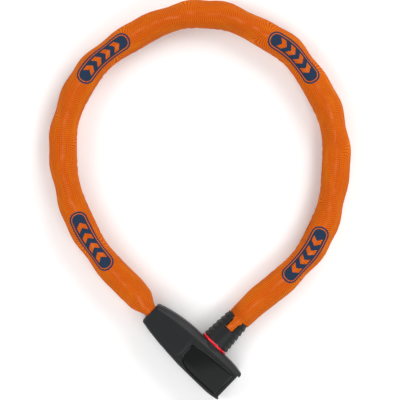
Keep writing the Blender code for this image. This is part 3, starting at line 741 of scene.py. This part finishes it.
class LOCK_OT_sleeve(bpy.types.Operator):
    """Models the woven sleeve as one surface, and cuts it half way between the chain's hinges"""
    bl_idname = "lock.sleeve"
    bl_label = "Woven sleeve"

    def execute(self, context):
        settings = context.scene.lock_sleeve
        material = sleeve_material(settings)
        stations, marks = sleeve_stations()
        surface = sleeve_surface(stations, settings)
        normals = surface_normals(surface)
        distances = around_distance(surface)
        for number, (start, end) in enumerate(zip(marks, marks[1:])):
            rows = list(range(start, end + 1))
            name = f"sleeve_stretch_{number:02d}"
            piece = sleeve_piece(name, rows, surface, normals, stations, distances)
            piece.data.materials.append(material)
            self.join_to_chain(piece, number)
        return {"FINISHED"}

    def join_to_chain(self, piece, number):
        """The last stretch rides on the last link's body. The neck and the others are not bent: their placement is
        only baked in.
        """
        if number == 0:
            self.bend_between(piece, "head", SECTIONS[0], *NECK_BEND)
        elif number == len(BENDS) + 1:
            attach(piece, SECTIONS[-1])
        else:
            corner = BENDS[number - 1]
            start, end = corner * PITCH - BEND_REACH, corner * PITCH + BEND_REACH
            self.bend_between(piece, SECTIONS[corner - 1], SECTIONS[corner], start, end)
        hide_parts(*tubes_of_stretch(number))

    def bend_between(self, piece, before, after, start, end):
        """Bakes the piece's placement into its mesh; it does not bend the piece. The two bodies and the two
        distances along the chain are not used.
        """
        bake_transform(piece)


# x, lower edge, lower crease, upper crease, upper edge of the housing
HEAD_STATIONS = (
    (0, -9.9, -8.0, 7.0, 10.1), (10, -11.6, -9.7, 8.4, 12.7), (20, -13.0, -11.2, 9.7, 14.9),
    (34, -14.2, -12.6, 10.9, 16.5), (46, -15.0, -13.5, 11.9, 16.6), (58, -15.2, -13.8, 12.6, 17.0),
    (70, -15.2, -13.8, 13.2, 17.4), (81, -15.0, -13.6, 13.3, 17.2), (91, -13.6, -12.3, 12.9, 15.9),
)
INLAY_OUTLINE = (
    (43.9, 4.6), (43.9, -6.6), (45.4, -9.3), (49.0, -11.2), (55.0, -12.4), (66.0, -12.6), (86.4, -11.7),
    (86.4, 10.9), (66.0, 9.8), (54.0, 8.5), (46.6, 6.7),
)
SCREW_PLACES = ((20.3, 0.0), (46.7, -6.5), (46.7, 7.5))


def station_at(x):
    """The housing's four edge lines at x, on a smooth curve through the stations."""
    xs = [s[0] for s in HEAD_STATIONS]
    k = min(max(sum(x >= v for v in xs) - 1, 0), len(xs) - 2)
    rows = [HEAD_STATIONS[min(max(k + d, 0), len(xs) - 1)] for d in (-1, 0, 1, 2)]
    t = (x - xs[k]) / (xs[k + 1] - xs[k])
    values = []
    for column in range(1, 5):
        p0, p1, p2, p3 = (row[column] for row in rows)
        values.append(0.5 * (2 * p1 + (p2 - p0) * t + (2 * p0 - 5 * p1 + 4 * p2 - p3) * t * t
                             + (3 * p1 - p0 - 3 * p2 + p3) * t ** 3))
    return values


def housing_section(x, shrink, rounding):
    lower, lower_crease, upper_crease, upper = station_at(x)
    lower, lower_crease = lower + shrink, lower_crease + shrink
    upper, upper_crease = upper - shrink, upper_crease - shrink
    top, wall = HEAD_TOP - shrink, 10.2 - shrink * 0.6
    corners = [
        (upper, wall), (upper_crease, top), (lower_crease, top), (lower, wall + 0.8),
        (lower, -wall - 0.8), (lower_crease, -top), (upper_crease, -top), (upper, -wall),
    ]
    return rounded_corners(corners, rounding, 4)


def housing_form(rounding):
    """The whole housing as a loft of sections, drawn in at both ends as a rounded edge."""
    length = HEAD_STATIONS[-1][0]
    rows = [(0.0, 1.7), (0.12, 1.15), (0.5, 0.6), (1.0, 0.2), (1.7, 0.0)]
    rows += [(float(x), 0.0) for x in np.linspace(4.0, length - 4.0, 40)]
    end_rows = [(1.5, 0.0), (0.8, 0.12), (0.35, 0.36), (0.1, 0.7), (0.0, 1.15)]
    rows += [(length - back, shrink) for back, shrink in end_rows]
    sections = [[(x, *point) for point in housing_section(x, shrink, rounding)] for x, shrink in rows]
    count = len(sections[0])

    def point(row, column):
        return HEAD @ (Vector(sections[row][column % count]) * MM)

    return close_up(grid_piece("housing_form", len(rows), count + 1, point))


def plug_boss():
    """The round shoulder that the red ring sits against, blended to the wall by a hollow curve."""
    profile = [(6.0, 13.9), (11.6, 13.85), (13.0, 13.5), (14.8, 13.05)]
    profile += [(16.6, 12.8), (17.05, 12.6), (17.25, 12.2)]
    return turned_piece("boss", profile, 96, Vector((PLUG_X * MM, 0, 0)))


def mouth_cutter():
    outline = [(-2, -8.1), (0, -8.0), (11, -5.9), (16.5, -5.9), (16.5, 5.9), (11, 5.9), (0, 8.0), (-2, 8.1)]
    return outline_piece("mouth", rounded_corners(outline, 1.2, 3), -12.3, 12.3)


def screw_cutters():
    cutters = []
    for number, (x, y) in enumerate(SCREW_PLACES, 1):
        low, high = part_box(f"housing_screw_{number}")
        reach = (Vector(high).z - MID_Z * MM) / MM + 0.3
        place = Vector((x * MM, y * MM, 0))
        profile = [(-16.0, 2.35), (-11.7, 2.35), (-11.7, 1.3), (reach, 1.3)]
        cutters.append(turned_upright("screw_way", profile, 24, place))
    return cutters


def turned_upright(name, profile, sides, place):
    """Turned about an upright axis through place: profile is (z, radius)."""
    def point(row, column):
        z, radius = profile[row]
        turn = 2 * math.pi * column / sides
        return HEAD @ (place + Vector((radius * math.cos(turn), radius * math.sin(turn), z)) * MM)

    return close_up(grid_piece(name, len(profile), sides + 1, point))


class LOCK_OT_housing(bpy.types.Operator):
    """Models the two half shells of the lock head and the ramp in front of the inlay"""
    bl_idname = "lock.housing"
    bl_label = "Housing shells"

    def execute(self, context):
        settings = context.scene.lock_head
        material = housing_plastic()
        form = carve(housing_form(settings.corner_round), plug_boss(), operation="UNION")
        carve(form, mouth_cutter(), box_piece("pocket", (24.0, -11.8, -10.3), (84.0, 12.3, 10.3)))
        carve(form, box_piece("end_pocket", (83.0, -11.8, -10.8), (95.0, 12.3, 10.8), 0.0))
        carve(form, box_piece("end_step", (89.0, -12.1, -20.0), (95.0, 12.6, 20.0)))
        hole = [(10.0, 7.5), (25.0, 7.5)]
        carve(form, turned_piece("plug_way", hole, 48, Vector((PLUG_X * MM, 0, 0))))
        pin_way = [(-12.6, 3.05), (12.6, 3.05)]
        carve(form, turned_piece("pin_way", pin_way, 32, Vector(((ANCHOR_X - 2.75) * MM, 0, 0))))
        carve(form, *screw_cutters())
        self.cut_inlay_seat(form)
        for name, low, high in (("housing_upper", 0.12, 30.0), ("housing_lower", -30.0, -0.12)):
            half = form.copy()
            half.data = form.data.copy()
            half.name = half.data.name = name
            context.scene.collection.objects.link(half)
            carve(half, box_piece("half_space", (-30, -50, low), (120, 50, high)), operation="INTERSECT")
            shade(soften(half, 0.22, 2, 40), 40)
            finish_piece(half, material, "head", [name + "_shell"])
        bpy.data.objects.remove(form)
        return {"FINISHED"}

    def cut_inlay_seat(self, form):
        """The seat of the inlay, and the sloped ramp before its straight end."""
        outline = rounded_corners(grown(INLAY_OUTLINE, 0.4), 2.3, 5)
        carve(form, outline_piece("seat", outline, 12.5, 16.0))
        ramp = wedge_piece("ramp", 40.6, 44.2, -8.2, 6.2, HEAD_TOP + 0.02, 12.7)
        carve(form, ramp)


def grown(outline, distance):
    """The outline pushed outwards by a distance along its corners' normals."""
    count = len(outline)
    area = sum(outline[k][0] * outline[(k + 1) % count][1] - outline[(k + 1) % count][0] * outline[k][1]
               for k in range(count))
    sign = 1 if area > 0 else -1
    out = []
    for k in range(count):
        before, here, after = (Vector(outline[(k + d) % count]) for d in (-1, 0, 1))
        first, second = (here - before).normalized(), (after - here).normalized()
        normal = (Vector((first.y, -first.x)) + Vector((second.y, -second.x))).normalized() * sign
        out.append(tuple(here + normal * distance))
    return out


def wedge_piece(name, start_x, end_x, low_y, high_y, start_z, end_z):
    """A cutter whose floor slopes from start_z to end_z along x."""
    bpy.ops.object.select_all(action="DESELECT")
    bpy.ops.mesh.primitive_cube_add(size=2)
    obj = bpy.context.object
    obj.name = obj.data.name = name
    for vertex in obj.data.vertices:
        at_end = vertex.co.x > 0
        x = end_x if at_end else start_x
        y = high_y if vertex.co.y > 0 else low_y
        floor = end_z if at_end else start_z
        z = 18.0 if vertex.co.z > 0 else floor
        vertex.co = HEAD @ (Vector((x, y, z)) * MM)
    return obj


class LOCK_OT_inlay(bpy.types.Operator):
    """Models the polished inlay: a slightly crowned plate with a rounded edge and a bevelled end strip"""
    bl_idname = "lock.inlay"
    bl_label = "Front inlay"

    def execute(self, context):
        outline = rounded_corners(INLAY_OUTLINE, 2.2, 5)
        levels = [(12.85, 0.0), (13.2, 0.0), (13.42, 0.1), (13.58, 0.36), (13.64, 0.7), (13.66, 1.6)]
        rings = []
        for z, inset in levels:
            ring = outline if not inset else grown(outline, -inset)
            rings.append([(x, y, z + 0.05 * (1 - ((y + 1) / 13) ** 2)) for x, y in ring])
        count = len(outline)

        def point(row, column):
            return HEAD @ (Vector(rings[row][column % count]) * MM)

        inlay = close_up(grid_piece("inlay_panel", len(rings), count + 1, point))
        carve(inlay, wedge_piece("end_bevel", 84.8, 90.0, -20.0, 20.0, HEAD_TOP + 0.12, 13.1))
        finish_piece(shade(inlay, 25), inlay_plastic(), "head", ["front_inlay"])
        return {"FINISHED"}


def grip_radius(y, turn):
    """The grip is a smooth cone above and below, with stepped ridges on its two sides."""
    smooth = 12.6 - 2.15 * (y - GRIP_START) / (GRIP_END - GRIP_START)
    edge = max(0.0, 1 - (y - GRIP_START) / 0.9)
    smooth -= 0.9 * (1 - math.sqrt(1 - edge * edge)) + 0.5 * max(0.0, (y - GRIP_END + 0.4) / 0.4) ** 2
    step = (y - GRIP_START + 0.6) / RIDGE_PITCH
    ridge = (step - math.floor(step)) ** 1.6
    on_side = float(smooth_step((abs(math.cos(turn)) - 0.62) / 0.25))
    return smooth + on_side * (0.25 - 0.95 * ridge)


def grip_form(sides):
    heights = [GRIP_START, GRIP_START + 0.05, GRIP_START + 0.2, GRIP_START + 0.5]
    heights += list(np.arange(GRIP_START + 0.9, GRIP_END - 0.3, 0.28))
    heights += [GRIP_END - 0.25, GRIP_END - 0.1, GRIP_END]

    def point(row, column):
        y, turn = heights[row], 2 * math.pi * column / sides
        radius = grip_radius(y, turn)
        return HEAD @ (Vector((PLUG_X + radius * math.cos(turn), y, radius * math.sin(turn))) * MM)

    return close_up(grid_piece("plug_grip", len(heights), sides + 1, point))


class LOCK_OT_plug(bpy.types.Operator):
    """Models the plug: its grip with the slot for the last link, the red ring, and the grooved shank"""
    bl_idname = "lock.plug"
    bl_label = "Plug"

    def execute(self, context):
        sides = context.scene.lock_head.collar_sides
        axis = Vector((PLUG_X * MM, 0, 0))
        collar = grip_form(sides)
        carve(collar, turned_piece("shank_way", [(15.0, 7.3), (28.9, 7.3)], 48, axis))
        carve(collar, box_piece("link_room", (PLUG_X - 4.4, 28.0, -10.6), (PLUG_X + 4.4, 60.0, 10.6)))
        carve(collar, box_piece("link_slot", (PLUG_X - 4.0, 35.0, -20.0), (PLUG_X + 4.0, 60.0, 20.0)))
        dish = [(43.8, 5.6), (47.6, 10.3), (52.0, 15.7)]
        carve(collar, turned_piece("dish", dish, sides, axis))
        carve(collar, self.cross_hole())
        shade(soften(collar, 0.18, 2, 50), 38)
        finish_piece(collar, housing_plastic(), "plug", ["plug_collar"])
        self.add_ring(sides, axis)
        self.add_shank(sides, axis)
        return {"FINISHED"}

    def cross_hole(self):
        """The way of the cross pin, along the head's x."""
        sides, radius = 32, 3.05

        def point(row, column):
            turn = 2 * math.pi * column / sides
            y = PLUG_PIVOT_Y + 2.75 + radius * math.cos(turn)
            return HEAD @ (Vector((PLUG_X + (-10.0, 10.0)[row], y, radius * math.sin(turn))) * MM)

        return close_up(grid_piece("cross_way", 2, sides + 1, point))

    def add_ring(self, sides, axis):
        start, half_width, radius, inner = 17.5, 0.9, 12.25, 7.5
        turns = np.linspace(0, math.pi, 13)
        rim = [(start + half_width * (1 - math.cos(t)), radius + 0.5 * math.sin(t)) for t in turns]
        profile = [(start, inner)] + rim + [(start + 2 * half_width, inner)]
        ring = turned_piece("ring_seal", profile, sides, axis)
        finish_piece(shade(ring, 40), ring_plastic(), "plug", ["red_ring"])

    def add_shank(self, sides, axis):
        profile = [(-7.0, 4.2), (-6.9, 5.0), (-6.4, 5.6), (-5.2, 6.7), (-4.6, 6.95), (-4.2, 7.0)]
        profile += [(0.3, 7.0), (0.5, 6.8), (0.5, 4.6), (0.7, 4.4)]
        profile += [(5.3, 4.4), (5.5, 4.6), (5.5, 6.8), (5.7, 7.0)]
        profile += [(27.9, 7.0), (28.5, 6.4)]
        shank = turned_piece("shank", profile, sides, axis)
        finish_piece(shade(shank, 30), steel_material(), "plug", ["plug_shank"])


def steel_material():
    """Zinc-plated hardened steel: grey, fine lines from turning, slightly cloudy."""
    found = bpy.data.materials.get("Zinc-plated steel")
    return found or worked_metal("Zinc-plated steel", "B4B6B8", "8F9295", 0.32, (900.0, 900.0, 90.0))


def brass_material():
    """Machined brass: yellow, with finer tool lines and a duller skin."""
    found = bpy.data.materials.get("Machined brass")
    return found or worked_metal("Machined brass", "D8B45E", "A98438", 0.26, (90.0, 1200.0, 1200.0))


class LOCK_OT_works(bpy.types.Operator):
    """Gives the chain, the lock works, the key end and the screws their materials"""
    bl_idname = "lock.works"
    bl_label = "Chain and lock works"

    def execute(self, context):
        plastic = speckled_plastic("Moulded nylon, key end", "191B1C", 0.5, 0.35, 0.03)
        by_slot = {
            "moulded_plastic": plastic,
            "gloss_plastic": inlay_plastic(),
            "hardened_steel": steel_material(),
            "cylinder_brass": brass_material(),
            "red_plastic": plastic,
            "sleeve_fabric": plastic,
        }
        slots = {part["node"]: part["material_slot"] for part in frame["record"]["subparts"]}
        for name, node in frame["nodes"].items():
            if node.hide_render:
                continue
            material = by_slot[slots[name]]
            node.data.materials.clear()
            node.data.materials.append(material)
        return {"FINISHED"}


class LOCK_OT_stage(bpy.types.Operator):
    """Sets the pale floor, the soft lights and the camera that looks straight down"""
    bl_idname = "lock.stage"
    bl_label = "Stage"

    def execute(self, context):
        context.scene.view_settings.view_transform = "Standard"
        self.add_floor()
        self.add_light("Key softbox", (0.85, 0.85, 0.85), 1.2, 16.0)
        self.add_light("Left softbox", (-1.05, 0.2, 0.8), 1.2, 9.0)
        self.add_light("Front softbox", (0.1, -1.1, 0.8), 1.2, 7.0)
        self.add_light("Ramp softbox", (0.5, -0.5, 0.95), 0.35, 2.0)
        self.add_card()
        self.add_world()
        self.add_camera()
        return {"FINISHED"}

    def add_floor(self):
        bpy.ops.object.select_all(action="DESELECT")
        bpy.ops.mesh.primitive_plane_add(size=6.0, location=(0, 0, -0.0004))
        floor = bpy.context.object
        floor.name = "Floor"
        material, tree, shader = new_material("Pale floor")
        shader.inputs["Base Color"].default_value = linear("FFFFFF")
        shader.inputs["Roughness"].default_value = 0.9
        floor.data.materials.append(material)

    def add_light(self, name, place, size, power):
        light = bpy.data.lights.new(name, "AREA")
        light.shape = "DISK"
        light.size = size
        light.energy = power
        holder = bpy.data.objects.new(name, light)
        bpy.context.scene.collection.objects.link(holder)
        holder.location = place
        holder.rotation_euler = (-Vector(place)).to_track_quat("-Z", "Y").to_euler()

    def add_card(self):
        """A dim card overhead: the inlay mirrors its straight edge, and the housing its soft glow."""
        light = bpy.data.lights.new("Overhead card", "AREA")
        light.shape = "RECTANGLE"
        light.size, light.size_y = 0.9, 0.6
        light.energy = CARD_POWER
        holder = bpy.data.objects.new("Overhead card", light)
        bpy.context.scene.collection.objects.link(holder)
        lean = math.radians(CARD_LEAN)
        edge = Vector(CARD_EDGE)
        inward = Vector((math.sin(lean), -math.cos(lean), 0.0))
        along = Vector((math.cos(lean), math.sin(lean), 0.0))
        holder.location = edge + inward * light.size_y / 2 + along * CARD_SHIFT
        holder.rotation_euler = (0.0, 0.0, lean)

    def add_world(self):
        world = bpy.data.worlds.new("Studio")
        world.use_nodes = True
        background = world.node_tree.nodes["Background"]
        background.inputs["Color"].default_value = linear("FFFFFF")
        background.inputs["Strength"].default_value = WORLD_STRENGTH
        bpy.context.scene.world = world

    def add_camera(self):
        """The picture is as high as the closed lock, seen from above through a long lens."""
        camera = bpy.data.cameras.new("Camera")
        camera.sensor_width = 36.0
        camera.lens = 180.0
        distance = FRAME_WIDTH * camera.lens / camera.sensor_width
        holder = bpy.data.objects.new("Camera", camera)
        bpy.context.scene.collection.objects.link(holder)
        holder.location = (*FRAME_MIDDLE, MID_Z * MM + distance)
        camera.clip_end = 20.0
        bpy.context.scene.camera = holder


class LOCK_PT_panel(bpy.types.Panel):
    """Lists the lock's build steps in the sidebar"""
    bl_label = "Chain lock"
    bl_idname = "LOCK_PT_panel"
    bl_space_type = "VIEW_3D"
    bl_region_type = "UI"
    bl_category = "Chain lock"

    def draw(self, context):
        for operator in BUILD_STEPS:
            self.layout.operator(operator.bl_idname)


BUILD_STEPS = (LOCK_OT_stage, LOCK_OT_sleeve, LOCK_OT_housing, LOCK_OT_inlay, LOCK_OT_plug, LOCK_OT_works)
CLASSES = (SleeveSettings, HeadSettings, *BUILD_STEPS, LOCK_PT_panel)


def register():
    for item in CLASSES:
        bpy.utils.register_class(item)
    bpy.types.Scene.lock_sleeve = bpy.props.PointerProperty(type=SleeveSettings)
    bpy.types.Scene.lock_head = bpy.props.PointerProperty(type=HeadSettings)


def unregister():
    del bpy.types.Scene.lock_sleeve
    del bpy.types.Scene.lock_head
    for item in reversed(CLASSES):
        bpy.utils.unregister_class(item)


def main():
    register()
    bpy.ops.lock.stage()
    bpy.ops.lock.sleeve()
    bpy.ops.lock.housing()
    bpy.ops.lock.inlay()
    bpy.ops.lock.plug()
    bpy.ops.lock.works()


if __name__ == "__main__":
    main()
